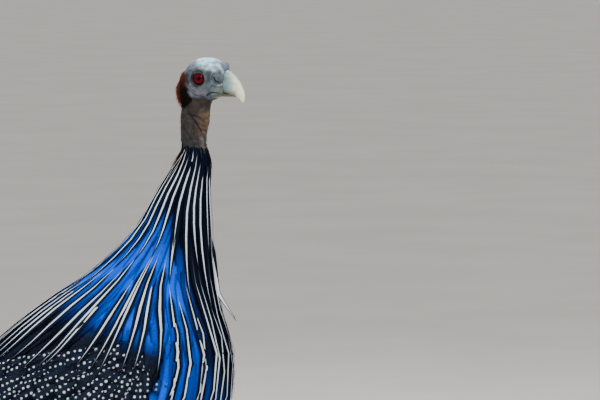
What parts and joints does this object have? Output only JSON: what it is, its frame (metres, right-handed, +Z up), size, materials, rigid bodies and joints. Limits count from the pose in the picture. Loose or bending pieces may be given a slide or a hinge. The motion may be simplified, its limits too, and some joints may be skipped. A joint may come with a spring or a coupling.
{
  "type": "vulturine guineafowl",
  "caption": "Standing vulturine guineafowl, life size: bare head and neck, cape of long striped lance-shaped feathers, spotted body, long drooping tail, scaled legs on flat toes.",
  "frame": {"origin": "on the floor, under the middle of the whole bird's length and width", "axes": "+X forward along the bird, +Y towards its left, +Z up"},
  "size_m": [0.4714, 0.1464, 0.61],
  "materials": {
    "slate_plumage": "matt dark slate feathers with white spots",
    "blue_plumage": "glossy cobalt blue and black lance-shaped feathers with white shaft stripes",
    "head_skin": "bare wrinkled pale blue-grey skin",
    "neck_skin": "bare dark grey skin with sparse bristles",
    "nape_down": "short dense chestnut down",
    "bill_horn": "pale greenish horn, smooth",
    "eye": "clear over a deep red iris",
    "leg_scales": "dark grey scaled skin",
    "claw_horn": "dark horn, slightly worn"
  },
  "bodies": {
    "root": {"bill_lower": "bill_horn", "bill_upper": "bill_horn", "claw_left_hind": "claw_horn", "claw_left_inner": "claw_horn", "claw_left_middle": "claw_horn", "claw_left_outer": "claw_horn", "claw_right_hind": "claw_horn", "claw_right_inner": "claw_horn", "claw_right_middle": "claw_horn", "claw_right_outer": "claw_horn", "eye_left": "eye", "eye_right": "eye", "head": "head_skin", "nape_patch": "nape_down", "neck_lower": "blue_plumage", "neck_upper": "neck_skin", "shank_left": "leg_scales", "shank_right": "leg_scales", "tail": "slate_plumage", "thigh_left": "slate_plumage", "thigh_right": "slate_plumage", "toe_left_hind": "leg_scales", "toe_left_inner": "leg_scales", "toe_left_middle": "leg_scales", "toe_left_outer": "leg_scales", "toe_right_hind": "leg_scales", "toe_right_inner": "leg_scales", "toe_right_middle": "leg_scales", "toe_right_outer": "leg_scales", "torso": "slate_plumage", "wing_left": "slate_plumage", "wing_right": "slate_plumage"}
  },
  "joints": []
}
